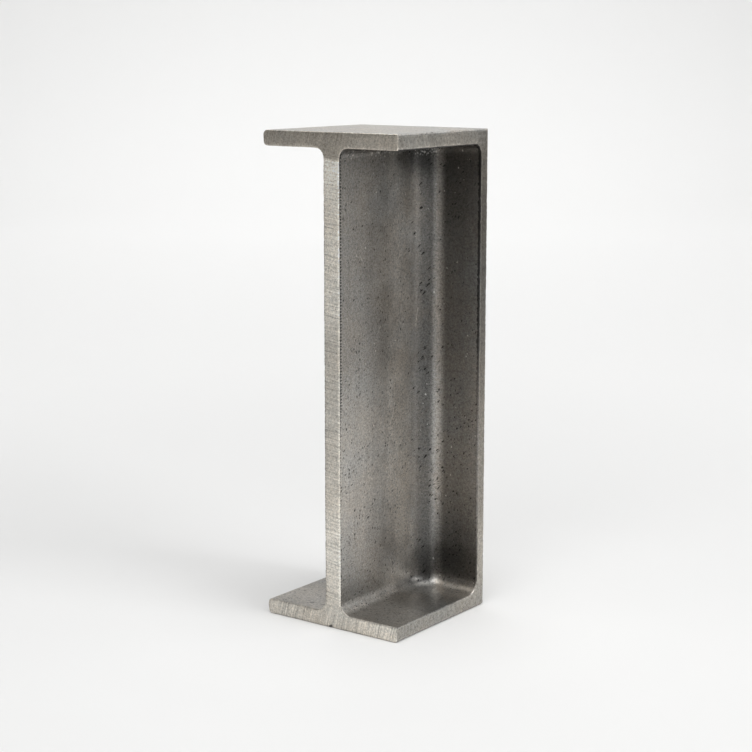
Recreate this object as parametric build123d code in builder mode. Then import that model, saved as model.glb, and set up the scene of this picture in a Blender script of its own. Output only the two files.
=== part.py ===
"""Upright offcut of steel H-beam whose far end is closed by a wall, all one piece of steel.

Lengths are in millimetres. X runs across the flanges, Y along the beam from the sawn end to the
end wall, and Z from the lower flange to the upper one. The origin is at the middle of the foot.
"""

import os

from build123d import *

# Overall sizes
beam_height = 200.0
flange_width = 66.0
offcut_length = 63.0

# Thickness of each plate
flange_thickness = 6.4
web_thickness = 7.8
end_wall_thickness = 5.6

# How far the web stands off the middle of the flanges, towards +X
web_offset = 1.1

# Inside corners: where the web runs into the end wall, and where both run into each flange
upright_root_radius = 12.0
upper_root_radius = 4.0
lower_root_radius = 5.0

# Outer corners of the flange toes on the -X side, which are as rolled, and on the cut +X side
rolled_toe_radius = 2.0
cut_toe_radius = 1.0

# Mouth of each channel, round which the inner corners of its toes and of the end wall run
rolled_mouth_radius = 2.0
cut_mouth_radius = 0.6

# Outside edges of the end wall, and the burr taken off round the sawn end
lower_heel_radius = 2.2
upper_heel_radius = 0.6
upright_heel_radius = 0.8
sawn_edge_break = 0.3

# How far the shape that hollows a channel runs on past the faces it opens
overrun = 4.0

sawn_face_y = -offcut_length / 2
back_face_y = offcut_length / 2
end_wall_face_y = back_face_y - end_wall_thickness
toe_face_x = flange_width / 2
middle_z = beam_height / 2


def channel_void(side):
    """The space on one side of the web, where side is +1 for the +X side and -1 for the other.

    It runs out past the sawn end and past the toes. Seen from above, its one corner inside the beam
    is well rounded. The root fillets run from the sawn end along the web, round that corner and
    out along the end wall, once at the foot of the channel and once at its head.
    """
    web_face_x = web_offset + side * web_thickness / 2
    width = toe_face_x + overrun - side * web_face_x
    length = end_wall_face_y - sawn_face_y + overrun
    with BuildPart() as void:
        with BuildSketch(Plane.XY.offset(flange_thickness)) as plan:
            with Locations((web_face_x + side * width / 2, end_wall_face_y - length / 2)):
                Rectangle(width, length)
            at_wall = plan.vertices().group_by(Axis.Y)[-1]
            fillet(at_wall.sort_by(Axis.X)[0 if side > 0 else -1], upright_root_radius)
        extrude(amount=beam_height - 2 * flange_thickness)
        for height_order, radius in ((0, lower_root_radius), (-1, upper_root_radius)):
            level_face = void.faces().filter_by(Axis.Z).sort_by(Axis.Z)[height_order]
            fillet(level_face.edges().filter_by(GeomType.CIRCLE), radius)
    return void.part


channel_voids = [channel_void(side) for side in (1, -1)]

with BuildPart() as h_beam:
    # Outline seen from the sawn end, with the outer corner of each toe rounded
    with BuildSketch(Plane.XZ.offset(-back_face_y)) as end_outline:
        with Locations((0, middle_z)):
            Rectangle(flange_width, beam_height)
        fillet(end_outline.vertices().group_by(Axis.X)[0], rolled_toe_radius)
        fillet(end_outline.vertices().group_by(Axis.X)[-1], cut_toe_radius)
    extrude(amount=offcut_length)

    # Outline seen from the side, with the lower and upper heel rounded
    with BuildSketch(Plane.YZ) as side_outline:
        with Locations((0, middle_z)):
            Rectangle(offcut_length, beam_height)
        lower_heel = side_outline.vertices().group_by(Axis.X)[-1].sort_by(Axis.Y)[0]
        fillet(lower_heel, lower_heel_radius)
        upper_heel = side_outline.vertices().group_by(Axis.X)[-1].sort_by(Axis.Y)[-1]
        fillet(upper_heel, upper_heel_radius)
    extrude(amount=toe_face_x, both=True, mode=Mode.INTERSECT)

    # Outline seen from above, with the upright heels rounded
    with BuildSketch(Plane.XY) as plan_outline:
        Rectangle(flange_width, offcut_length)
        fillet(plan_outline.vertices().group_by(Axis.Y)[-1], upright_heel_radius)
    extrude(amount=beam_height, mode=Mode.INTERSECT)

    # A channel on each side of the web
    for void in channel_voids:
        add(void, mode=Mode.SUBTRACT)

    # The mouth of each channel, rounded along both toes and down the end wall between them
    for order, radius in ((0, rolled_mouth_radius), (-1, cut_mouth_radius)):
        toe_face = h_beam.faces().filter_by(Axis.X).sort_by(Axis.X)[order]
        upright_edges = toe_face.edges().filter_by(Axis.Z)
        fillet(upright_edges.sort_by(lambda edge: abs(edge.center().Y - end_wall_face_y))[0], radius)

    # The sawn end has its burr taken off all round
    chamfer(h_beam.faces().sort_by(Axis.Y)[0].outer_wire().edges(), sawn_edge_break)

h_beam.part.label = "h_beam"

os.makedirs("parts", exist_ok=True)
export_step(h_beam.part, "parts/h_beam.step")
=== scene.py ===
"""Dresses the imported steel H-beam offcut and stands it on a pale studio floor.

Lengths are in metres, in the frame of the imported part: X across the flanges, Y from the sawn end
to the end wall, Z up from the foot.
"""

import math

import bmesh
import bpy
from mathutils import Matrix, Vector
from mathutils.kdtree import KDTree


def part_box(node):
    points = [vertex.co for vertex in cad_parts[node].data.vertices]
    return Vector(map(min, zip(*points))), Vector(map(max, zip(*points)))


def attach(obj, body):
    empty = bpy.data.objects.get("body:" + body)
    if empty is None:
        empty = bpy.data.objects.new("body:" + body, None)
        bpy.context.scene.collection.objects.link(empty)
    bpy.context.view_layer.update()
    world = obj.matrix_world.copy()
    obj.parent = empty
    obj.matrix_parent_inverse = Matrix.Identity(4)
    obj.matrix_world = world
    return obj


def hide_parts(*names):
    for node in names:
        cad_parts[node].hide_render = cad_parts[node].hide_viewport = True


bl_info = {
    "name": "Steel H-beam offcut",
    "version": (1, 0, 0),
    "blender": (4, 5, 0),
    "location": "3D View > Sidebar > H-beam",
    "description": "Gives the H-beam offcut its steel finishes and lays the studio round it",
    "category": "Object",
}

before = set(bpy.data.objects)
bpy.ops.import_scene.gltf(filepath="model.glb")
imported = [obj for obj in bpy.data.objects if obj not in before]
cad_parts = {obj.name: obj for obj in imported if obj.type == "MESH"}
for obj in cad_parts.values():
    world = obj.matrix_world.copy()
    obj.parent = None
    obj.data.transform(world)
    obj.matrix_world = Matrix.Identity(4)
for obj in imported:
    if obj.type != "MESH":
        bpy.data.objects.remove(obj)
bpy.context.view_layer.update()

MM = 0.001
NODE = "h_beam"
PIECE = "h_beam_steel"
BEAM_LOW, BEAM_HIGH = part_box(NODE)

# The finishes on the beam, in the order of the numbers in the mesh's finish attribute
ROLLED, SAWN, CUT = range(3)
FINISHES = ("rolled_steel", "sawn_steel", "cut_steel")

# Where the plates lie, in millimetres, for the finishes to follow
WEB_MIDDLE_X = 1.1
HALF_WEB = 3.9
END_WALL_Y = 25.9
SAWN_RIM_Y = -31.2
MIDDLE_Z = 100.0

# How light a place is against its finish's own colour. Each list holds places in millimetres and
# the number at each. These two run up the web and up the end wall, inside the channels
# These paint light and shade: the end wall is in painted shade against the web, and both are
# painted darker up under the top flange
WEB_TONES = (
    (4, 0.8), (8, 1.3), (14, 1.18), (60, 1.58), (95, 1.35), (115, 1.1), (172, 1.12), (194, 0.65))
WALL_TONES = (
    (10, 0.62), (28, 0.7), (60, 0.78), (90, 0.71), (115, 0.6), (150, 0.52), (172, 0.35),
    (190, 0.55))

# Round the root, from the web, which lies below nought, to the end wall
# This paints light on the web beside the root, a dip of painted shade across the root, and a
# painted highlight band past it
ROOT_TONES = (
    (-60, 1.0), (-30, 1.05), (-18, 1.6), (-12, 1.42), (-6, 0.46), (1, 0.31), (5, 0.74), (9.5, 1.0),
    (12, 0.78), (28, 1.15))

# Up the strip of web beside the root, and up the dark dip in the middle of the root
# Both paint light and shade up the root; the dip itself is painted shade
NEAR_TONES = (
    (9, 0.5), (16, 1.0), (25, 1.5), (45, 1.1), (88, 0.86), (112, 1.07), (164, 1.15), (188, 0.65))
DIP_TONES = ((40, 0.9), (95, 0.95), (130, 1.2), (164, 1.4), (186, 0.7))

# Up the corners at the foot, on the root and on the end wall, and up the corners at the head
# These paint shade in the corners, and a painted highlight on the end wall's corner just above the
# foot
LOW_ROOT_TONES = (
    (6, 1.0), (9, 0.8), (13.5, 0.48), (19, 0.55), (27, 1.0), (45, 1.1), (70, 1.0))
LOW_WALL_TONES = (
    (6, 1.5), (9, 1.4), (11, 0.8), (13.5, 0.38), (19, 0.3), (27, 0.52), (45, 0.84), (70, 1.0))
HIGH_CORNER_TONES = ((170, 1.0), (178, 0.9), (187, 0.6), (190, 0.6), (193, 0.8))

# In from the sawn end over the foot, and even tones for the head and for the outside faces
FOOT_TONES = ((-31, 1.45), (-16, 1.5), (-2, 1.15), (8, 1.4), (18, 1.9))
HEAD_TONE = 1.65
PLAIN_TONE = 1.15

# Up the sawn end and in its brown top, up the cut edge of the end wall and up the cut toes
# These paint light and shade: bands up the sawn end, and painted shade towards the top of the end
# wall's cut edge
SAWN_TONES = (
    (0, 0.93), (12, 1.0), (33, 1.2), (60, 0.97), (115, 0.9), (135, 1.3), (165, 1.3), (182, 1.58),
    (200, 1.4))
BROWN_AND_SHADE_TONE = 0.47
CUT_WALL_TONES = (
    (0, 0.98), (24, 1.15), (45, 0.86), (80, 0.74), (110, 0.52), (165, 0.39), (180, 0.5),
    (200, 0.9))
CUT_TOE_TONES = ((0, 0.98), (200, 1.1))

# Out over the floor from under the beam
# Painted shade: the floor is darker in a ring round the beam, darkest about 200 to 300 millimetres
# out
FLOOR_TONES = (
    (0, 0.97), (80, 0.96), (130, 0.92), (200, 0.89), (300, 0.9), (600, 0.97), (1500, 1.0))

# Shares of the places where a pit may lie, how deep the teeth of the sawn arris are, and how much
# cooler the steel is there, or warmer where that is below nought
PIT_SHARES = ((0, 0.5), (20, 0.75), (90, 0.7), (125, 0.35), (200, 0.3))
SAWN_PIT_SHARES = ((0, 0.1), (45, 0.15), (60, 0.5), (88, 0.5), (100, 0.15), (200, 0.15))
TOOTH_DEPTHS = ((0, 0.6), (80, 0.9), (100, 2.8), (195, 2.8))
ROOT_TINTS = ((-5, 0.0), (1, 0.13), (5, 0.12), (8, -0.1), (12, 0.0))
CUT_TINTS = ((0, 0.0), (60, -0.12), (110, -0.22), (175, -0.22), (200, -0.05))

# Where zones of the rolled plates lie, in millimetres. Two places are where a zone starts and from
# where it is whole; where there are four, it is whole up to the third and ends at the fourth. X, Y
# and Z are those axes, and TURNED is the way round the root
HEAD_Z = (199.0, 199.6)
FOOT_Z = (8.6, 6.6)
CHANNEL_Y = (26.9, 26.3)
CHANNEL_Z = (5.5, 6.0, 193.0, 193.5)
WALL_TURNED = (5.0, 12.0)
NEAR_TURNED = (-22.0, -16.0, -9.0, -5.0)
DIP_TURNED = (-8.0, -4.0, 1.5, 4.0)
LOW_WALL_TURNED = (2.5, 7.5)
LOW_CORNER_TURNED = (-13.0, -6.0, 12.0, 60.0)
HIGH_CORNER_TURNED = (-20.0, -8.0)
# The painted highlight along the fillet between the web and the foot lies in both of these zones
FOOT_HIGHLIGHT_Z = (6.7, 7.8, 8.8, 10.6)
FOOT_HIGHLIGHT_TURNED = (-9.0, -14.0)
# Pale grit specks along the upper root fillet, lit as painted glints, lie in these three zones
GRIT_GLINT_Y = (-30.0, -26.0)
GRIT_GLINT_Z = (187.5, 190.5)
GRIT_GLINT_TURNED = (9.0, 6.0)
MOUTH_X = (32.45, 32.9)
MOUTH_Y = (26.6, 26.3)
MOUTH_Z = (6.0, 12.0, 194.0, 194.2)
TOOTHED_X = (3.0, 4.5, 5.4, 6.0)

# The same for the sawn end. The flanges and the ends of the web's arris are measured from mid
# height, the arris's width from the web's faces, and the brown top, which is also painted shade, up
# the slope of the saw's marks
SAWN_FLANGE = (88.0, 95.0)
ARRIS_ENDS = (92.0, 88.0)
ARRIS_WIDTH = (-1.2, -0.35)
SAWN_BROWN_AND_SHADE = (188.5, 190.5)
ARRIS_RIGHT_X = (0.0, 2.0)
FOOT_RIGHT_X = (8.0, 30.0)
FOOT_RIGHT_Z = (12.0, 6.0)
HEAD_RIGHT_X = (-5.0, 30.0)
HEAD_RIGHT_Z = (188.0, 194.0)
SAWN_TOP_Z = (199.6, 199.8)

# The same for the cut faces, and the mesh's rim values between which their pale lip, a painted
# highlight, starts
CUT_WALL_Y = (22.0, 25.0)
CUT_LIP = (0.45, 0.9)

# How strongly patterns show in a tone: for the rolled, the sawn and the cut finish
GRAIN_TONES = (1.2, 0.95, 1.1)
CLOUD_TONES = (0.12, 0.14, 0.12)
PIT_CHANGES = (-0.82, -0.6, -0.55)

# The same for the outside faces and then for the channels, and what part of the pits each has
ROLLING_TONES = (0.6, 0.2)
FLECK_TONES = (0.3, 1.2)
PIT_COVERS = (0.3, 1.0)

# How much lighter single marks and zones are, or darker where that is below nought, and how
# strongly the lines of the saw and of the cut show
SAW_TONE = 0.85
CUT_TONE = 0.3
HAIR_TONE = 0.25
LIP_TONE = 0.2
ARRIS_TONE = 0.6
DOT_CHANGE = -0.68
FOOT_HIGHLIGHT_CHANGE = 0.5
SCRATCH_CHANGE = 0.6
DARK_CHANGE = -0.8
TOP_RIM_CHANGE = 1.2
LEFT_ARRIS_CHANGE = -0.45
FOOT_RIGHT_CHANGE = 0.25
HEAD_RIGHT_CHANGE = 0.22

# How high patterns stand in the bumps, in millimetres, the grain for each of the three finishes
GRAIN_HEIGHTS = (0.035, 0.012, 0.03)
SAW_HEIGHT = 0.05
CUT_HEIGHT = 0.04
CLOUD_HEIGHT = 0.06
PIT_HEIGHT = -0.05

# How strongly each finish is tinted in patches, how rough it is where its clouds are lowest and
# highest, how much the head and the rolling add to that, and how metallic plates and head are
TINT_STRENGTHS = (0.65, 0.45, 0.45)
BROWNED_TINT = -0.2
ROUGHNESSES = ((0.29, 0.37), (0.31, 0.4), (0.33, 0.43))
HEAD_ROUGHNESS = 0.06
ROLLING_ROUGHNESSES = (0.3, 0.0)
METALLICS = (0.9, 0.35)

# Between which numbers the clouds and the tints mostly lie
CLOUD_RANGE = (-0.2, 0.2)
TINT_RANGE = (-0.3, 0.3)

# How often the pattern of rolling changes in a millimetre of X, Y and Z, how large the grain of
# each finish is, and the pitch and the slope of the lines on the web, the flanges and the cut faces
ROLLING_SCALES = (0.35, 0.35, 0.02)
GRAIN_SIZES = (0.36, 0.4, 0.55)
SAW_PITCH, FLANGE_SAW_PITCH, CUT_PITCH = 1.4, 1.2, 1.1
SAW_SLOPE, FLANGE_SAW_SLOPE, CUT_SLOPE = 0.12, -0.25, 0.15

# Fades: two places in millimetres, and the strength at each
MOUTH_FADE = (60.0, 125.0, 0.2, 1.0)
GRIT_GLINT_FADE = (-5.0, 12.0, 1.5, 0.6)
FLANGE_SAW_FADE = (60.0, 160.0, 1.1, 0.65)

# Tilts of a colour towards warm and towards cool
TILTS = ((1.045, 0.998, 0.95), (0.965, 1.0, 1.04))

# Marks from handling, each from one point to another and as wide as the last number. The fourth
# dark mark is painted shade along the web's left arris on the sawn end
PALE_SCRATCHES = (
    ((5.0, -6.4, 118.0), (5.0, -3.6, 121.6), 0.22),
    ((6.1, 18.9, 118.0), (6.6, 19.9, 126.0), 0.3),
    ((5.0, -18.0, 151.0), (5.0, -15.5, 147.5), 0.2),
    ((5.0, 4.0, 82.0), (5.0, 6.2, 88.5), 0.2),
)
DARK_MARKS = (
    ((-15.2, -25.6, 6.4), (-14.0, -25.0, 6.4), 0.7),
    ((-0.5, -31.5, 0.3), (0.3, -31.5, 0.8), 0.8),
    ((32.6, -8.6, 200.0), (33.0, -7.8, 199.8), 0.6),
    ((-2.8, -31.5, 179.0), (-2.8, -31.5, 173.0), 0.45),
    ((-2.8, -31.5, 152.0), (-2.8, -31.5, 134.0), 0.4),
)

# How close things lie that are taken together while the mesh is cut: points that become one before
# and after the cuts, points on a cut, points in the plane of a face, edges beside a rim, the sawn
# end's broken edge, and the turn between faces that become one
SAME_POINT = 0.001 * MM
CLOSE_POINT = 0.04 * MM
ON_CUT = 0.002 * MM
IN_PLANE = 0.005 * MM
RIM_MARGIN = 0.01 * MM
BURR_REACH = 0.5 * MM
FLAT_ANGLE = math.radians(0.4)

# Ranges of noise that stand for no hollow and the deepest, and for no chip and the deepest
HOLLOW_RANGE = (0.25, 0.75)
CHIP_RANGE = (0.42, 0.72)

# Each lamp's name, place, the point it faces, its width, the spread of its light in degrees and the
# setting that holds its power
LAMPS = (
    ("top_lamp", (0.0, 0.0, 1.5), (0, 0, 0), 1.6, 180, "top_power"),
    ("right_lamp", (1.5, 0.0, 0.8), (0, 0, 0.1), 1.0, 120, "right_power"),
    ("front_lamp", (0.27, -1.02, 1.16), (0, 0, 0.1), 0.8, 120, "front_power"),
    ("back_lamp", (-0.9, 1.2, 2.2), (-1.2, 1.7, 0), 1.4, 90, "back_power"),
)
SENSOR_WIDTH = 36.0


# Settings that a user would change

class BeamSettings(bpy.types.PropertyGroup):
    """Sizes of the beam's mesh cells and of its small unevenness."""

    face_cell: bpy.props.FloatProperty(
        name="Face cell", description="Size of the mesh cells on the plates",
        default=2.2 * MM, subtype="DISTANCE")
    rim_cell: bpy.props.FloatProperty(
        name="Rim cell", description="Length of the mesh cells along a sawn or cut edge",
        default=0.45 * MM, subtype="DISTANCE")
    rim_width: bpy.props.FloatProperty(
        name="Rim width", description="How far in from a sawn or cut edge its chips reach",
        default=0.8 * MM, subtype="DISTANCE")
    wave_height: bpy.props.FloatProperty(
        name="Wave height", description="Deepest hollow that rolling left in a plate",
        default=0.1 * MM, subtype="DISTANCE")
    wave_length: bpy.props.FloatProperty(
        name="Wave length", description="Distance between those hollows",
        default=16 * MM, subtype="DISTANCE")
    chip_depth: bpy.props.FloatProperty(
        name="Chip depth", description="Deepest chip in a sawn or cut edge",
        default=0.35 * MM, subtype="DISTANCE")
    chip_length: bpy.props.FloatProperty(
        name="Chip length", description="Distance between chips along a sawn or cut edge",
        default=1.1 * MM, subtype="DISTANCE")
    seed: bpy.props.IntProperty(
        name="Seed", description="Which scatter of hollows and chips is used", default=7)


class FinishSettings(bpy.types.PropertyGroup):
    """Colours of the three finishes."""

    rolled_colour: bpy.props.FloatVectorProperty(
        name="Rolled steel", description="Plates with their mill scale",
        default=(0.29, 0.276, 0.255), subtype="COLOR", size=3)
    sawn_colour: bpy.props.FloatVectorProperty(
        name="Sawn steel", description="Bare metal of the sawn end",
        default=(0.585, 0.556, 0.502), subtype="COLOR", size=3)
    cut_colour: bpy.props.FloatVectorProperty(
        name="Cut steel", description="Dulled metal of the cut toes",
        default=(0.36, 0.345, 0.315), subtype="COLOR", size=3)


class StudioSettings(bpy.types.PropertyGroup):
    """Floor, lamps and camera."""

    floor_colour: bpy.props.FloatVectorProperty(
        name="Floor", description="Colour of the floor and of the backdrop that it rises into",
        default=(0.9, 0.9, 0.895), subtype="COLOR", size=3)
    floor_radius: bpy.props.FloatProperty(
        name="Floor radius", description="Where the floor starts to rise",
        default=1.9, subtype="DISTANCE")
    top_power: bpy.props.FloatProperty(
        name="Top lamp", description="Power of the lamp over the beam",
        default=16.0, unit="POWER")
    right_power: bpy.props.FloatProperty(
        name="Right lamp", description="Power of the lamp that faces the cut side",
        default=6.2, unit="POWER")
    front_power: bpy.props.FloatProperty(
        name="Front lamp", description="Power of the small lamp above the camera",
        default=2.0, unit="POWER")
    back_power: bpy.props.FloatProperty(
        name="Back lamp", description="Power of the lamp over the backdrop",
        default=8.8, unit="POWER")
    room_light: bpy.props.FloatProperty(
        name="Room light", description="Strength of the light from the room all round",
        default=0.2)
    azimuth: bpy.props.FloatProperty(
        name="Azimuth", description="How far the camera stands round from the sawn end towards +X",
        default=math.radians(36.37), subtype="ANGLE")
    elevation: bpy.props.FloatProperty(
        name="Elevation", description="How steeply the camera looks down",
        default=math.radians(10.56), subtype="ANGLE")
    distance: bpy.props.FloatProperty(
        name="Distance", description="From the camera to the point it looks at",
        default=0.7136, subtype="DISTANCE")
    aim: bpy.props.FloatVectorProperty(
        name="Aim", description="The point in the middle of the picture",
        default=(0.0037, -0.0055, 0.1006), subtype="XYZ", size=3)
    lens: bpy.props.FloatProperty(
        name="Lens", description="Focal length in millimetres on a 36 mm wide sensor",
        default=83.97)


# Node helpers

def add_node(tree, kind, inputs=None, **settings):
    """A node in the tree. inputs gives sockets, by name or number, a value or what feeds them."""
    made = tree.nodes.new(kind)
    for name, value in settings.items():
        setattr(made, name, value)
    for key, value in (inputs or {}).items():
        if isinstance(value, bpy.types.NodeSocket):
            tree.links.new(value, made.inputs[key])
        else:
            made.inputs[key].default_value = value
    return made


def calc(tree, operation, *values):
    """Result of a sum on numbers or on what other nodes put out."""
    return add_node(tree, "ShaderNodeMath", dict(enumerate(values)), operation=operation).outputs[0]


def product(tree, first, *others):
    """All the values multiplied together."""
    for other in others:
        first = calc(tree, "MULTIPLY", first, other)
    return first


def total(tree, first, *others):
    """All the values added up."""
    for other in others:
        first = calc(tree, "ADD", first, other)
    return first


def difference(tree, first, second):
    """The first value less the second."""
    return calc(tree, "SUBTRACT", first, second)


def ratio(tree, first, second):
    """The first value divided by the second."""
    return calc(tree, "DIVIDE", first, second)


def toned(tree, tone, mask, change):
    """tone made lighter by that share where the mask is 1, or darker if change is below nought."""
    return product(tree, tone, total(tree, 1.0, product(tree, mask, change)))


def vector_calc(tree, operation, first, second):
    """Result of a sum on two vectors."""
    return add_node(
        tree, "ShaderNodeVectorMath", {0: first, 1: second}, operation=operation).outputs[0]


def scaled(tree, vector, factor):
    """The vector times a number."""
    return add_node(
        tree, "ShaderNodeVectorMath", {0: vector, "Scale": factor}, operation="SCALE").outputs[0]


def dot(tree, first, second):
    """How far one vector goes along the other, times the other's length."""
    made = add_node(
        tree, "ShaderNodeVectorMath", {0: first, 1: second}, operation="DOT_PRODUCT")
    return made.outputs["Value"]


def spread(tree, value, low, high, to_low=0.0, to_high=1.0, kind="SMOOTHSTEP"):
    """value taken smoothly from the range low to high onto to_low to to_high, and held past it."""
    inputs = {
        "Value": value, "From Min": low, "From Max": high, "To Min": to_low, "To Max": to_high}
    made = add_node(tree, "ShaderNodeMapRange", inputs, interpolation_type=kind)
    return made.outputs["Result"]


def zone(tree, value, places):
    """Mask that is 1 where value lies in a zone given by two or four places, and 0 outside it."""
    start = spread(tree, value, *places[:2])
    return start if len(places) == 2 else product(tree, start, spread(tree, value, *places[:1:-1]))


def by_place(tree, value, stops):
    """Number read off a smooth line through the stops, each a place and the number there."""
    low, high = stops[0][0], stops[-1][0]
    share = spread(tree, value, low, high, kind="LINEAR")
    read = add_node(tree, "ShaderNodeFloatCurve", {"Value": share})
    curve = read.mapping.curves[0]
    read.mapping.use_clip = False
    for place, number in stops[1:-1]:
        curve.points.new((place - low) / (high - low), number)
    curve.points[0].location = (0.0, stops[0][1])
    curve.points[-1].location = (1.0, stops[-1][1])
    for point in curve.points:
        point.handle_type = "AUTO_CLAMPED"
    read.mapping.update()
    return read.outputs[0]


def blend(tree, factor, first, second):
    """Number between two others."""
    inputs = {0: factor, 2: first, 3: second}
    return add_node(tree, "ShaderNodeMix", inputs, data_type="FLOAT").outputs[0]


def combined(tree, x, y, z):
    """Vector of three numbers."""
    return add_node(tree, "ShaderNodeCombineXYZ", {0: x, 1: y, 2: z}).outputs[0]


def noise(tree, vector, scale, detail=2.0, roughness=0.5):
    """Cloudy pattern that mostly lies between 0.3 and 0.7."""
    inputs = {"Vector": vector, "Scale": scale, "Detail": detail, "Roughness": roughness}
    return add_node(tree, "ShaderNodeTexNoise", inputs).outputs[0]


def mixed(tree, factor, first, second):
    """Blend of two colours."""
    inputs = {"Factor": factor, "A": first, "B": second}
    made = add_node(tree, "ShaderNodeMix", data_type="RGBA")
    for key, value in inputs.items():
        socket = [s for s in made.inputs if s.name == key and s.enabled][0]
        if isinstance(value, bpy.types.NodeSocket):
            tree.links.new(value, socket)
        else:
            socket.default_value = value
    return [s for s in made.outputs if s.enabled][0]


def new_group(name, kind, inputs, outputs):
    """Empty node tree with its sockets, and its input and output nodes."""
    tree = bpy.data.node_groups.new(name, kind)
    for label, socket, default in inputs:
        made = tree.interface.new_socket(name=label, in_out="INPUT", socket_type=socket)
        if default is not None:
            made.default_value = default
    for label, socket in outputs:
        tree.interface.new_socket(name=label, in_out="OUTPUT", socket_type=socket)
    return tree, tree.nodes.new("NodeGroupInput").outputs, tree.nodes.new("NodeGroupOutput").inputs


# The beam's mesh

def even_places(low, high, cell):
    """Places between low and high, about one cell apart."""
    count = max(2, round((high - low) / cell))
    return [low + (high - low) * i / count for i in range(1, count)]


def cut_at(shell, axis, places):
    """Cuts every face along the planes that stand at these places on the axis."""
    normal = Vector((0, 0, 0))
    normal[axis] = 1
    for place in places:
        everything = shell.verts[:] + shell.edges[:] + shell.faces[:]
        bmesh.ops.bisect_plane(
            shell, geom=everything, dist=ON_CUT, plane_co=normal * place, plane_no=normal)


def flat_faces(shell, normal, place):
    """Faces that lie in the plane at that place along normal."""
    return [f for f in shell.faces
            if f.normal.dot(normal) > 0.9
            and all(abs(v.co.dot(normal) - place) < IN_PLANE for v in f.verts)]


def ring_largest(shell, normal, place, width):
    """Lays a ring of narrow faces inside the rim of the largest face in the plane.

    Round a corner sharper than the ring is wide, the points inside it come together in one.
    """
    largest = max(flat_faces(shell, normal, place), key=lambda face: face.calc_area())
    bmesh.ops.inset_region(shell, faces=[largest], thickness=width, use_even_offset=True)
    bmesh.ops.remove_doubles(shell, verts=largest.verts[:], dist=0.45 * width)


def split_long_edges(shell, edges, cell):
    """Splits the edges that are much longer than a cell, and the faces between them."""
    by_cuts = {}
    for edge in edges:
        cuts = round(edge.calc_length() / cell) - 1
        if cuts > 1:
            by_cuts.setdefault(cuts, []).append(edge)
    for cuts, found in sorted(by_cuts.items()):
        bmesh.ops.subdivide_edges(shell, edges=found, cuts=cuts, use_grid_fill=True)


def beam_mesh(settings):
    """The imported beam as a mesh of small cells, finer along its sawn and cut rims.

    Each face has its finish, and each point a rim value that is 1 on a sawn or cut rim and falls to
    0 a rim width away.
    """
    sawn_way, cut_way = Vector((0, -1, 0)), Vector((1, 0, 0))
    sawn_place, cut_place = -BEAM_LOW.y, BEAM_HIGH.x
    half_rim = settings.rim_width / 2
    sawn_rims = [BEAM_LOW.y + half_rim, BEAM_LOW.y + settings.rim_width]
    cut_rims = [BEAM_HIGH.x - 3 * half_rim, BEAM_HIGH.x - 2 * half_rim]

    shell = bmesh.new()
    shell.from_mesh(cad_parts[NODE].data)
    finish_layer = shell.faces.layers.int.new("finish")
    rim_layer = shell.verts.layers.float.new("rim")
    bmesh.ops.remove_doubles(shell, verts=shell.verts[:], dist=SAME_POINT)
    bmesh.ops.dissolve_limit(
        shell, angle_limit=FLAT_ANGLE, verts=shell.verts[:], edges=shell.edges[:])
    for way, place in ((sawn_way, sawn_place), (cut_way, cut_place)):
        ring_largest(shell, way, place, half_rim)
        ring_largest(shell, way, place, half_rim)
    cut_at(shell, 2, even_places(BEAM_LOW.z, BEAM_HIGH.z, settings.face_cell))
    cut_at(shell, 1, sawn_rims + even_places(sawn_rims[-1], BEAM_HIGH.y, settings.face_cell))
    cut_at(shell, 0, even_places(BEAM_LOW.x, cut_rims[0], settings.face_cell) + cut_rims)
    bmesh.ops.remove_doubles(shell, verts=shell.verts[:], dist=CLOSE_POINT)

    edge_of_sawn = sawn_rims[-1] + RIM_MARGIN
    edge_of_cut = cut_rims[0] - RIM_MARGIN
    near = [e for e in shell.edges
            if max(v.co.y for v in e.verts) < edge_of_sawn
            or min(v.co.x for v in e.verts) > edge_of_cut]
    inner = set()
    for way, place in ((sawn_way, sawn_place), (cut_way, cut_place)):
        for face in flat_faces(shell, way, place):
            if face.calc_area() > settings.face_cell * settings.rim_width:
                inner.update(face.edges)
    split_long_edges(shell, [e for e in near if e not in inner], settings.rim_cell)

    sawn = set(flat_faces(shell, sawn_way, sawn_place))
    cut = set(flat_faces(shell, cut_way, cut_place))
    rim_points = {v for f in sawn for v in f.verts if any(g not in sawn for g in v.link_faces)}
    rim_points |= {v for f in cut for v in f.verts if any(g not in cut for g in v.link_faces)}
    tree = KDTree(len(rim_points))
    for index, point in enumerate(rim_points):
        tree.insert(point.co, index)
    tree.balance()

    for face in shell.faces:
        near_sawn = face.calc_center_median().y < BEAM_LOW.y + BURR_REACH
        chamfer = near_sawn and face.normal.dot(sawn_way) > 0.5
        face[finish_layer] = SAWN if face in sawn or chamfer else CUT if face in cut else ROLLED
        face.smooth = True
    for point in shell.verts:
        point[rim_layer] = max(0.0, 1.0 - tree.find(point.co)[2] / settings.rim_width)

    mesh = bpy.data.meshes.new(PIECE)
    shell.to_mesh(mesh)
    shell.free()
    return mesh


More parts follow.
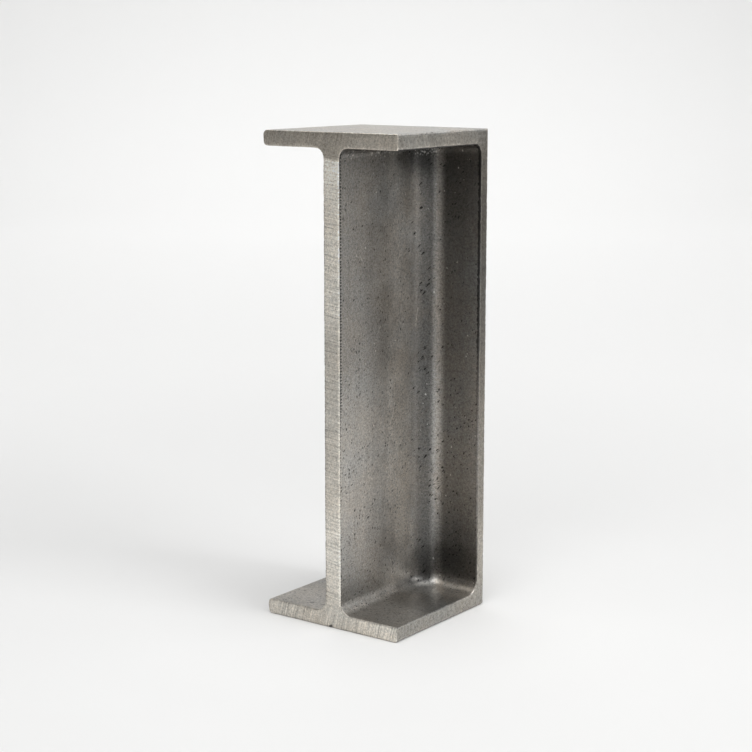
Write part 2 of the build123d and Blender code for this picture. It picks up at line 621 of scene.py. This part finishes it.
def worked_surface_tree():
    """Node tree that gives the beam its rolled hollows and chipped rims, and then its finishes."""
    tree, given, result = new_group("Worked surface", "GeometryNodeTree", [
        ("Geometry", "NodeSocketGeometry", None),
        ("Wave height", "NodeSocketFloat", 0.1 * MM),
        ("Wave length", "NodeSocketFloat", 16 * MM),
        ("Chip depth", "NodeSocketFloat", 0.35 * MM),
        ("Chip length", "NodeSocketFloat", 1.1 * MM),
        ("Seed", "NodeSocketInt", 7),
    ], [("Geometry", "NodeSocketGeometry")])
    place = add_node(tree, "GeometryNodeInputPosition").outputs[0]
    normal = add_node(tree, "GeometryNodeInputNormal").outputs[0]
    rim, finish = [
        add_node(tree, "GeometryNodeInputNamedAttribute", {"Name": name}, data_type=kind).outputs[0]
        for name, kind in (("rim", "FLOAT"), ("finish", "INT"))]

    def scattered(length, detail):
        """Noise of about that length, at a place set by the seed."""
        inputs = {
            "Vector": place, "W": given["Seed"], "Scale": ratio(tree, 1.0, length),
            "Detail": detail}
        return add_node(tree, "ShaderNodeTexNoise", inputs, noise_dimensions="4D").outputs[0]

    hollow = spread(tree, scattered(given["Wave length"], 1.0), *HOLLOW_RANGE)
    hollow = product(tree, hollow, given["Wave height"])
    chip = spread(tree, scattered(given["Chip length"], 3.0), *CHIP_RANGE)
    chip = product(tree, chip, given["Chip depth"], rim)
    offset = scaled(tree, normal, product(tree, total(tree, hollow, chip), -1.0))
    target = vector_calc(tree, "MINIMUM", vector_calc(tree, "ADD", place, offset), BEAM_HIGH)
    target = vector_calc(tree, "MAXIMUM", target, BEAM_LOW)
    inputs = {"Geometry": given["Geometry"], "Position": target}
    moved = add_node(tree, "GeometryNodeSetPosition", inputs).outputs[0]
    whole = add_node(tree, "GeometryNodeRealizeInstances", {"Geometry": moved}).outputs[0]
    for number, name in enumerate(FINISHES):
        chosen = add_node(
            tree, "FunctionNodeCompare", {2: finish, 3: number}, data_type="INT",
            operation="EQUAL").outputs[0]
        inputs = {"Geometry": whole, "Selection": chosen, "Material": bpy.data.materials[name]}
        whole = add_node(tree, "GeometryNodeSetMaterial", inputs).outputs[0]
    tree.links.new(whole, result["Geometry"])
    return tree


def set_tree_inputs(modifier, values):
    """Gives a modifier's named inputs their values."""
    sockets = {item.name: item.identifier for item in modifier.node_group.interface.items_tree
               if item.item_type == "SOCKET" and item.in_out == "INPUT"}
    for name, value in values.items():
        modifier[sockets[name]] = value


# Patterns that more than one finish uses

def grain_group():
    """Unevenness of a steel skin, round nought: fine grain, and clouds of a few millimetres."""
    tree, given, result = new_group("Steel grain", "ShaderNodeTree", [
        ("Vector", "NodeSocketVector", None),
        ("Grain size", "NodeSocketFloat", 0.45),
    ], [("Grain", "NodeSocketFloat"), ("Cloud", "NodeSocketFloat"), ("Tint", "NodeSocketFloat")])
    place = given["Vector"]
    fine = noise(tree, place, ratio(tree, 1.0, given["Grain size"]), 1.0)
    middling = noise(tree, place, ratio(tree, 0.42, given["Grain size"]), 2.0)
    layers = {
        "Grain": (fine, middling),
        "Cloud": (noise(tree, place, 0.22, 3.0), noise(tree, place, 0.06, 2.0)),
        "Tint": (noise(tree, place, 0.6, 3.0, 0.65), noise(tree, place, 0.05, 1.0)),
    }
    for name, (near, far) in layers.items():
        tree.links.new(total(tree, near, far, -1.0), result[name])
    return tree


def specks_group():
    """Small ragged specks of uneven size, strewn in clusters."""
    tree, given, result = new_group("Specks", "ShaderNodeTree", [
        ("Vector", "NodeSocketVector", None),
        ("Spacing", "NodeSocketFloat", 2.0),
        ("Radius", "NodeSocketFloat", 0.4),
        ("Share", "NodeSocketFloat", 0.5),
    ], [("Mask", "NodeSocketFloat")])
    place = given["Vector"]
    scale = ratio(tree, 1.0, given["Spacing"])
    cell = add_node(tree, "ShaderNodeTexVoronoi", {"Vector": place, "Scale": scale})
    chance = add_node(tree, "ShaderNodeSeparateColor", {0: cell.outputs["Color"]}).outputs
    cluster = spread(tree, noise(tree, place, 0.11, 2.0), 0.36, 0.64, 0.1, 1.7)
    share = product(tree, given["Share"], cluster)
    kept = calc(tree, "LESS_THAN", chance[0], share)
    largest = product(tree, given["Radius"], scale)
    radius = product(tree, largest, spread(tree, chance[1], 0.0, 1.0, 0.3, 1.0))
    ragged = total(tree, noise(tree, place, ratio(tree, 1.2, given["Radius"]), 2.0), -0.5)
    distance = total(tree, cell.outputs["Distance"], product(tree, ragged, largest, 2.8))
    inside = ratio(tree, difference(tree, radius, distance), largest)
    tree.links.new(product(tree, spread(tree, inside, -0.1, 0.35), kept), result["Mask"])
    return tree


def marks_group():
    """Fine lines that a blade or wheel left, round nought.

    Along is the way from line to line, and Across the way along each line.
    """
    tree, given, result = new_group("Tool marks", "ShaderNodeTree", [
        ("Along", "NodeSocketFloat", None),
        ("Across", "NodeSocketFloat", None),
        ("Pitch", "NodeSocketFloat", 1.4),
    ], [("Lines", "NodeSocketFloat")])
    along = ratio(tree, given["Along"], given["Pitch"])
    across = ratio(tree, given["Across"], product(tree, given["Pitch"], 15.0))

    def streaks(along_by, across_by, layer, detail=1.0):
        """Noise drawn out along the lines, other in each layer."""
        at = combined(tree, product(tree, along, along_by), product(tree, across, across_by), layer)
        return noise(tree, at, 1.0, detail)

    broad = streaks(0.3, 1.0, 1.0)
    coarse = streaks(1.0, 1.0, 0.0)
    fine = streaks(2.6, 1.5, 3.0, 2.0)
    patch = streaks(0.2, 1.5, 7.0)
    from_groove = calc(tree, "PINGPONG", total(tree, along, product(tree, coarse, 1.4)), 0.5)
    groove = product(
        tree, spread(tree, from_groove, 0.2, 0.02), spread(tree, patch, 0.4, 0.6), -0.25)
    lines = total(
        tree, product(tree, broad, 0.4), product(tree, coarse, 0.6), fine, -1.0, groove)
    tree.links.new(lines, result["Lines"])
    return tree


def scratch_group():
    """A straight mark from one point to another, 1 in its middle and 0 from its width outwards."""
    tree, given, result = new_group("Scratch", "ShaderNodeTree", [
        ("Vector", "NodeSocketVector", None),
        ("Start", "NodeSocketVector", None),
        ("End", "NodeSocketVector", None),
        ("Width", "NodeSocketFloat", 0.3),
    ], [("Mask", "NodeSocketFloat")])
    whole = vector_calc(tree, "SUBTRACT", given["End"], given["Start"])
    reached = vector_calc(tree, "SUBTRACT", given["Vector"], given["Start"])
    share = ratio(tree, dot(tree, reached, whole), dot(tree, whole, whole))
    share = spread(tree, share, 0.0, 1.0, kind="LINEAR")
    apart = vector_calc(tree, "SUBTRACT", reached, scaled(tree, whole, share))
    distance = calc(tree, "SQRT", dot(tree, apart, apart))
    out = ratio(tree, distance, given["Width"])
    tree.links.new(spread(tree, out, 0.35, 1.0, 1.0, 0.0), result["Mask"])
    return tree


# The three finishes

def new_material(name):
    """Node tree of a new material, the place in millimetres, its parts and the shader's sockets."""
    material = bpy.data.materials.new(name)
    material.use_nodes = True
    tree = material.node_tree
    tree.nodes.clear()
    metres = add_node(tree, "ShaderNodeTexCoord").outputs["Object"]
    place = scaled(tree, metres, 1 / MM)
    parts = add_node(tree, "ShaderNodeSeparateXYZ", {0: place}).outputs
    shader = add_node(tree, "ShaderNodeBsdfPrincipled")
    add_node(tree, "ShaderNodeOutputMaterial", {"Surface": shader.outputs[0]})
    return tree, place, (parts["X"], parts["Y"], parts["Z"]), shader.inputs


def placed_group(tree, name, **inputs):
    """One of the shared patterns, placed in a material with its own values."""
    given = {key.replace("_", " "): value for key, value in inputs.items()}
    return add_node(tree, "ShaderNodeGroup", given, node_tree=bpy.data.node_groups[name]).outputs


def specks(tree, place, spacing, radius, share):
    """Mask of small specks, that far apart and that large, at that share of the places."""
    return placed_group(
        tree, "Specks", Vector=place, Spacing=spacing, Radius=radius, Share=share)["Mask"]


def leaning(tree, place, tilt, turn, stretch):
    """The place for specks drawn out one way, which is tilted and turned by these degrees."""
    rotation = (0, math.radians(tilt), math.radians(turn))
    inputs = {"Vector": place, "Rotation": rotation, "Scale": (stretch, 1.0, 1.0)}
    return add_node(tree, "ShaderNodeMapping", inputs, vector_type="TEXTURE").outputs[0]


def tool_marks(tree, along, across, pitch):
    """Lines that a blade or wheel left, with that pitch."""
    return placed_group(tree, "Tool marks", Along=along, Across=across, Pitch=pitch)["Lines"]


def past_web(tree, x):
    """How far out a place lies from the web's faces, below nought within the web."""
    return difference(tree, calc(tree, "ABSOLUTE", difference(tree, x, WEB_MIDDLE_X)), HALF_WEB)


def scratched(tree, place, tone, marks, change):
    """tone with each of the marks from handling laid over it."""
    for start, end, width in marks:
        mask = placed_group(
            tree, "Scratch", Vector=place, Start=start, End=end, Width=width)["Mask"]
        tone = toned(tree, tone, mask, change)
    return tone


def grained(tree, finish, grain, *patterns):
    """Tone of a finish before its zones and marks: 1 with its grain, clouds and other patterns."""
    return total(
        tree, 1.0, *patterns, product(tree, grain["Grain"], GRAIN_TONES[finish]),
        product(tree, grain["Cloud"], CLOUD_TONES[finish]))


def relief(tree, finish, grain, pits, pattern):
    """Heights in millimetres for the bumps of a finish: one pattern, its grain and its pits."""
    return total(
        tree, pattern, product(tree, grain["Grain"], GRAIN_HEIGHTS[finish]),
        product(tree, pits, PIT_HEIGHT))


def clouded_roughness(tree, finish, grain):
    """Roughness of a finish, which goes up and down with its clouds."""
    return spread(tree, grain["Cloud"], *CLOUD_RANGE, *ROUGHNESSES[finish])


def coat(tree, shader, colour, tone, tint, bumps):
    """Gives a finish its colour, made lighter by tone and cooler by tint, and its bumps."""
    warm, cool = [(*[part * by for part, by in zip(colour, tilt)], 1.0) for tilt in TILTS]
    own = mixed(tree, spread(tree, tint, *TINT_RANGE), warm, cool)
    tree.links.new(scaled(tree, own, tone), shader["Base Color"])
    inputs = {"Height": product(tree, bumps, MM), "Distance": 1.0, "Strength": 1.0}
    tree.links.new(add_node(tree, "ShaderNodeBump", inputs).outputs[0], shader["Normal"])


def rolled_zones(tree, y, z, turned, channel, head):
    """How light each zone of the rolled plates is: painted light and shade up the web, the end wall
    and round the root, painted shade in the corners with a painted highlight low on the end wall, a
    painted highlight along the foot's fillet, and tones for the foot and head.
    """
    on_wall = zone(tree, turned, WALL_TURNED)
    heights = blend(tree, on_wall, by_place(tree, z, WEB_TONES), by_place(tree, z, WALL_TONES))
    low_corner = blend(
        tree, zone(tree, turned, LOW_WALL_TURNED),
        by_place(tree, z, LOW_ROOT_TONES), by_place(tree, z, LOW_WALL_TONES))
    strips = (
        (LOW_CORNER_TURNED, low_corner),
        (HIGH_CORNER_TURNED, by_place(tree, z, HIGH_CORNER_TONES)),
        (NEAR_TURNED, by_place(tree, z, NEAR_TONES)),
        (DIP_TURNED, by_place(tree, z, DIP_TONES)),
    )
    strips = [blend(tree, zone(tree, turned, places), 1.0, tones) for places, tones in strips]
    inside = product(tree, heights, *strips, by_place(tree, turned, ROOT_TONES))
    zones = blend(tree, zone(tree, z, FOOT_Z), inside, by_place(tree, y, FOOT_TONES))
    # Painted highlight along the fillet between the web and the foot
    foot_highlight = product(tree, zone(tree, z, FOOT_HIGHLIGHT_Z), zone(tree, turned, FOOT_HIGHLIGHT_TURNED))
    zones = blend(tree, channel, PLAIN_TONE, toned(tree, zones, foot_highlight, FOOT_HIGHLIGHT_CHANGE))
    return blend(tree, head, zones, HEAD_TONE)


def mouth_line(tree, place, x, y, z):
    """Mask of the ragged dark line inside the mouth of the cut side, fainter low down."""
    ragged = total(tree, x, product(tree, noise(tree, place, 0.8, 3.0), 1.9), -0.2)
    return product(
        tree, zone(tree, ragged, MOUTH_X), zone(tree, y, MOUTH_Y), zone(tree, z, MOUTH_Z),
        spread(tree, z, *MOUTH_FADE))


def arris_teeth(tree, place, x, y, z):
    """Mask of the dark teeth that run from the sawn arris into the web."""
    along = total(tree, product(tree, z, 0.8), noise(tree, place, 0.5, 1.0))
    teeth = calc(tree, "PINGPONG", along, 0.5)
    depth = total(tree, 0.1, product(tree, teeth, by_place(tree, z, TOOTH_DEPTHS)))
    reached = ratio(tree, difference(tree, y, SAWN_RIM_Y), depth)
    return product(tree, spread(tree, reached, 1.15, 0.85), zone(tree, x, TOOTHED_X))


def rolled_steel(settings):
    """Mill scale on the rolled plates, with grain, pits, zones of painted light and shade, and
    scratches.
    """
    tree, place, (x, y, z), shader = new_material("rolled_steel")
    turned = difference(tree, past_web(tree, x), difference(tree, END_WALL_Y, y))
    channel = product(tree, zone(tree, y, CHANNEL_Y), zone(tree, z, CHANNEL_Z))
    head = zone(tree, z, HEAD_Z)

    grain = placed_group(tree, "Steel grain", Vector=place, Grain_size=GRAIN_SIZES[ROLLED])
    drawn = [product(tree, part, scale) for part, scale in zip((x, y, z), ROLLING_SCALES)]
    rolling = total(tree, noise(tree, combined(tree, *drawn), 1.0, 3.0), -0.5)
    pitted = product(tree, by_place(tree, z, PIT_SHARES), blend(tree, channel, *PIT_COVERS))
    pits = specks(
        tree, leaning(tree, place, -43, 45, 3.0), spacing=1.25, radius=0.38, share=pitted)
    dots = specks(tree, place, spacing=0.95, radius=0.2, share=0.6)
    flecks = specks(tree, leaning(tree, place, 60, 70, 1.6), spacing=2.3, radius=0.3, share=0.4)
    hairs = specks(
        tree, leaning(tree, place, -68, 50, 16.0), spacing=5.0, radius=0.22, share=0.35)
    # Pale grit specks along the upper root fillet: painted glints, stronger towards the sawn end
    grit_glints = specks(tree, place, spacing=1.0, radius=0.5, share=0.7)
    grit_glint_zone = product(
        tree, channel, zone(tree, z, GRIT_GLINT_Z), zone(tree, turned, GRIT_GLINT_TURNED),
        zone(tree, y, GRIT_GLINT_Y), spread(tree, y, *GRIT_GLINT_FADE))

    tone = grained(
        tree, ROLLED, grain, product(tree, rolling, blend(tree, channel, *ROLLING_TONES)))
    tone = product(tree, tone, rolled_zones(tree, y, z, turned, channel, head))
    tone = toned(tree, tone, pits, PIT_CHANGES[ROLLED])
    tone = toned(tree, tone, dots, DOT_CHANGE)
    tone = total(
        tree, tone, product(tree, flecks, blend(tree, channel, *FLECK_TONES)),
        product(tree, hairs, HAIR_TONE), product(tree, grit_glints, grit_glint_zone))
    tone = scratched(tree, place, tone, PALE_SCRATCHES, SCRATCH_CHANGE)
    tone = scratched(tree, place, tone, DARK_MARKS, DARK_CHANGE)
    tone = toned(tree, tone, mouth_line(tree, place, x, y, z), DARK_CHANGE)
    tone = toned(tree, tone, arris_teeth(tree, place, x, y, z), DARK_CHANGE)

    tint = product(tree, grain["Tint"], TINT_STRENGTHS[ROLLED])
    tint = total(tree, tint, by_place(tree, turned, ROOT_TINTS))
    bumps = relief(tree, ROLLED, grain, pits, product(tree, grain["Cloud"], CLOUD_HEIGHT))
    coat(tree, shader, settings.rolled_colour, tone, tint, bumps)
    roughness = total(
        tree, clouded_roughness(tree, ROLLED, grain), product(tree, head, HEAD_ROUGHNESS),
        product(tree, rolling, blend(tree, channel, *ROLLING_ROUGHNESSES)))
    tree.links.new(roughness, shader["Roughness"])
    tree.links.new(blend(tree, head, *METALLICS), shader["Metallic"])


def sawn_steel(settings):
    """Bare metal of the sawn end, with marks that run across the thickness of each plate."""
    tree, place, (x, _, z), shader = new_material("sawn_steel")
    from_middle = calc(tree, "ABSOLUTE", difference(tree, z, MIDDLE_Z))
    aslant = total(tree, z, product(tree, x, SAW_SLOPE))
    web = tool_marks(tree, aslant, x, SAW_PITCH)
    flange_aslant = total(tree, x, product(tree, z, FLANGE_SAW_SLOPE))
    flange = tool_marks(tree, flange_aslant, z, FLANGE_SAW_PITCH)
    flange = product(tree, flange, spread(tree, z, *FLANGE_SAW_FADE))
    lines = blend(tree, zone(tree, from_middle, SAWN_FLANGE), web, flange)

    # Brown top of the sawn end, darkened as painted shade as well
    browned_and_shaded = zone(tree, aslant, SAWN_BROWN_AND_SHADE)
    arris = product(
        tree, zone(tree, past_web(tree, x), ARRIS_WIDTH), zone(tree, from_middle, ARRIS_ENDS))
    right = zone(tree, x, ARRIS_RIGHT_X)
    torn = noise(tree, combined(tree, x, product(tree, z, 1.6), 0.0), 1.0, 2.0)
    torn = spread(tree, torn, 0.42, 0.62, 0.4, 1.0)
    foot_right = product(tree, zone(tree, x, FOOT_RIGHT_X), zone(tree, z, FOOT_RIGHT_Z))
    head_right = product(tree, zone(tree, x, HEAD_RIGHT_X), zone(tree, z, HEAD_RIGHT_Z))
    zones = toned(tree, by_place(tree, z, SAWN_TONES), foot_right, FOOT_RIGHT_CHANGE)
    zones = toned(tree, zones, head_right, HEAD_RIGHT_CHANGE)
    zones = product(tree, zones, spread(tree, browned_and_shaded, 0.0, 1.0, 1.0, BROWN_AND_SHADE_TONE))

    grain = placed_group(tree, "Steel grain", Vector=place, Grain_size=GRAIN_SIZES[SAWN])
    pitted = by_place(tree, z, SAWN_PIT_SHARES)
    pits = specks(tree, place, spacing=1.6, radius=0.3, share=pitted)
    tone = grained(tree, SAWN, grain, product(tree, lines, SAW_TONE))
    tone = product(tree, tone, zones)
    # Painted highlight along the web's right arris, ragged
    tone = total(tree, tone, product(tree, arris, right, torn, ARRIS_TONE))
    # Painted highlight along the chamfer at the top of the sawn end
    tone = toned(tree, tone, zone(tree, z, SAWN_TOP_Z), TOP_RIM_CHANGE)
    # Painted shade along the web's left arris, ragged
    left_arris = product(tree, arris, difference(tree, 1.0, right), torn)
    tone = toned(tree, tone, left_arris, LEFT_ARRIS_CHANGE)
    tone = toned(tree, tone, pits, PIT_CHANGES[SAWN])
    tone = scratched(tree, place, tone, DARK_MARKS, DARK_CHANGE)

    tint = product(tree, grain["Tint"], TINT_STRENGTHS[SAWN])
    tint = total(tree, tint, product(tree, browned_and_shaded, BROWNED_TINT))
    bumps = relief(tree, SAWN, grain, pits, product(tree, lines, SAW_HEIGHT))
    coat(tree, shader, settings.sawn_colour, tone, tint, bumps)
    tree.links.new(clouded_roughness(tree, SAWN, grain), shader["Roughness"])
    shader["Metallic"].default_value = 1.0


def cut_steel(settings):
    """Dulled metal of the cut toes and of the end wall's cut edge."""
    tree, place, (_, y, z), shader = new_material("cut_steel")
    lines = tool_marks(tree, total(tree, y, product(tree, z, CUT_SLOPE)), z, CUT_PITCH)
    grain = placed_group(tree, "Steel grain", Vector=place, Grain_size=GRAIN_SIZES[CUT])
    pits = specks(tree, place, spacing=1.5, radius=0.32, share=0.4)
    lip = add_node(tree, "ShaderNodeAttribute", attribute_name="rim").outputs["Fac"]
    zones = blend(
        tree, zone(tree, y, CUT_WALL_Y),
        by_place(tree, z, CUT_TOE_TONES), by_place(tree, z, CUT_WALL_TONES))
    tone = product(tree, grained(tree, CUT, grain, product(tree, lines, CUT_TONE)), zones)
    # Painted highlight along the rims of the cut faces
    tone = total(tree, tone, product(tree, zone(tree, lip, CUT_LIP), LIP_TONE))
    tone = toned(tree, tone, pits, PIT_CHANGES[CUT])
    tint = product(tree, grain["Tint"], TINT_STRENGTHS[CUT])
    tint = total(tree, tint, by_place(tree, z, CUT_TINTS))
    bumps = relief(tree, CUT, grain, pits, product(tree, lines, CUT_HEIGHT))
    coat(tree, shader, settings.cut_colour, tone, tint, bumps)
    tree.links.new(clouded_roughness(tree, CUT, grain), shader["Roughness"])
    shader["Metallic"].default_value = 1.0


# Operators

class HBEAM_OT_make_beam(bpy.types.Operator):
    """Makes the beam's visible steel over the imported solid"""

    bl_idname = "hbeam.make_beam"
    bl_label = "Make the beam"

    def execute(self, context):
        settings = context.scene.hbeam_beam
        for make_finish in (rolled_steel, sawn_steel, cut_steel):
            make_finish(context.scene.hbeam_finish)
        rough = bpy.data.objects.new("beam_under_work", beam_mesh(settings))
        context.scene.collection.objects.link(rough)
        modifier = rough.modifiers.new("Worked surface", "NODES")
        modifier.node_group = worked_surface_tree()
        set_tree_inputs(modifier, {
            "Wave height": settings.wave_height, "Wave length": settings.wave_length,
            "Chip depth": settings.chip_depth, "Chip length": settings.chip_length,
            "Seed": settings.seed})
        graph = context.evaluated_depsgraph_get()
        mesh = bpy.data.meshes.new_from_object(rough.evaluated_get(graph), depsgraph=graph)
        bpy.data.objects.remove(rough)
        if not mesh.polygons:
            raise RuntimeError("the beam's mesh came out empty")
        mesh.name = PIECE
        piece = bpy.data.objects.new(PIECE, mesh)
        context.scene.collection.objects.link(piece)
        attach(piece, "root")
        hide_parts(NODE)
        return {"FINISHED"}


class HBEAM_OT_make_patterns(bpy.types.Operator):
    """Builds the node groups that the finishes share"""

    bl_idname = "hbeam.make_patterns"
    bl_label = "Build the shared patterns"

    def execute(self, context):
        grain_group()
        specks_group()
        marks_group()
        scratch_group()
        return {"FINISHED"}


def floor_mesh(radius):
    """A round floor that curves up into a wall all round."""
    rise, top, steps, segments = 0.9, 2.6, 12, 96
    profile = [(0.0, 0.0), (radius / 4, 0.0), (radius, 0.0)]
    for i in range(1, steps + 1):
        angle = math.pi / 2 * i / steps
        profile.append((radius + rise * math.sin(angle), rise * (1 - math.cos(angle))))
    profile.append((radius + rise, top))
    shell = bmesh.new()
    points = [shell.verts.new((r, 0, z)) for r, z in profile]
    edges = [shell.edges.new(pair) for pair in zip(points, points[1:])]
    bmesh.ops.spin(
        shell, geom=points + edges, cent=(0, 0, 0), axis=(0, 0, 1), angle=math.tau, steps=segments)
    bmesh.ops.remove_doubles(shell, verts=shell.verts[:], dist=0.1 * MM)
    bmesh.ops.recalc_face_normals(shell, faces=shell.faces[:])
    for face in shell.faces:
        face.smooth = True
    mesh = bpy.data.meshes.new("floor")
    shell.to_mesh(mesh)
    shell.free()
    return mesh


def add_lamp(scene, name, place, aim, size, angle, power):
    """Square soft lamp at place that faces aim, with the spread of its light in degrees."""
    light = bpy.data.lights.new(name, "AREA")
    light.shape = "SQUARE"
    light.size = size
    light.spread = math.radians(angle)
    light.energy = power
    lamp = bpy.data.objects.new(name, light)
    lamp.location = place
    lamp.rotation_euler = (Vector(aim) - Vector(place)).to_track_quat("-Z", "Y").to_euler()
    scene.collection.objects.link(lamp)


class HBEAM_OT_lay_studio(bpy.types.Operator):
    """Lays the floor, hangs the lamps and places the camera"""

    bl_idname = "hbeam.lay_studio"
    bl_label = "Lay the studio"

    def execute(self, context):
        scene = context.scene
        settings = scene.hbeam_studio
        tree, _, (x, y, _), shader = new_material("pale_floor")
        outwards = calc(tree, "SQRT", total(tree, product(tree, x, x), product(tree, y, y)))
        # Painted shade in a ring on the floor round the beam
        tone = by_place(tree, outwards, FLOOR_TONES)
        tree.links.new(scaled(tree, settings.floor_colour, tone), shader["Base Color"])
        shader["Roughness"].default_value = 0.9
        shader["Specular IOR Level"].default_value = 0.1
        floor = bpy.data.objects.new("floor", floor_mesh(settings.floor_radius))
        floor.data.materials.append(bpy.data.materials["pale_floor"])
        scene.collection.objects.link(floor)

        for *lamp, power in LAMPS:
            add_lamp(scene, *lamp, getattr(settings, power))

        world = bpy.data.worlds.new("room")
        world.use_nodes = True
        light = world.node_tree.nodes["Background"].inputs
        light["Color"].default_value = (1.0, 1.0, 1.0, 1.0)
        light["Strength"].default_value = settings.room_light
        scene.world = world
        scene.view_settings.view_transform = "Standard"

        turn, tilt = settings.azimuth, settings.elevation
        back = Vector((
            math.sin(turn) * math.cos(tilt), -math.cos(turn) * math.cos(tilt), math.sin(tilt)))
        camera = bpy.data.objects.new("camera", bpy.data.cameras.new("camera"))
        camera.data.lens = settings.lens
        camera.data.sensor_width = SENSOR_WIDTH
        camera.location = Vector(settings.aim) + back * settings.distance
        camera.rotation_euler = back.to_track_quat("Z", "Y").to_euler()
        scene.collection.objects.link(camera)
        scene.camera = camera
        return {"FINISHED"}


class HBEAM_PT_sidebar(bpy.types.Panel):
    """Lists the steps that dress the beam, with their settings"""

    bl_idname = "HBEAM_PT_sidebar"
    bl_label = "H-beam offcut"
    bl_space_type = "VIEW_3D"
    bl_region_type = "UI"
    bl_category = "H-beam"

    def draw(self, context):
        for settings, operators in STEPS:
            box = self.layout.box()
            group = getattr(context.scene, settings)
            for name in group.bl_rna.properties.keys():
                if name not in ("rna_type", "name"):
                    box.prop(group, name)
            for operator in operators:
                box.operator(operator.bl_idname)


STEPS = (
    ("hbeam_finish", (HBEAM_OT_make_patterns,)),
    ("hbeam_beam", (HBEAM_OT_make_beam,)),
    ("hbeam_studio", (HBEAM_OT_lay_studio,)),
)
SETTINGS = {
    "hbeam_beam": BeamSettings, "hbeam_finish": FinishSettings, "hbeam_studio": StudioSettings}
CLASSES = (
    *SETTINGS.values(), HBEAM_OT_make_patterns, HBEAM_OT_make_beam, HBEAM_OT_lay_studio,
    HBEAM_PT_sidebar)


def register():
    for cls in CLASSES:
        bpy.utils.register_class(cls)
    for name, cls in SETTINGS.items():
        setattr(bpy.types.Scene, name, bpy.props.PointerProperty(type=cls))


def unregister():
    for name in SETTINGS:
        delattr(bpy.types.Scene, name)
    for cls in reversed(CLASSES):
        bpy.utils.unregister_class(cls)


def main():
    """Runs each step in order."""
    register()
    bpy.ops.hbeam.make_patterns()
    bpy.ops.hbeam.make_beam()
    bpy.ops.hbeam.lay_studio()


if __name__ == "__main__":
    main()
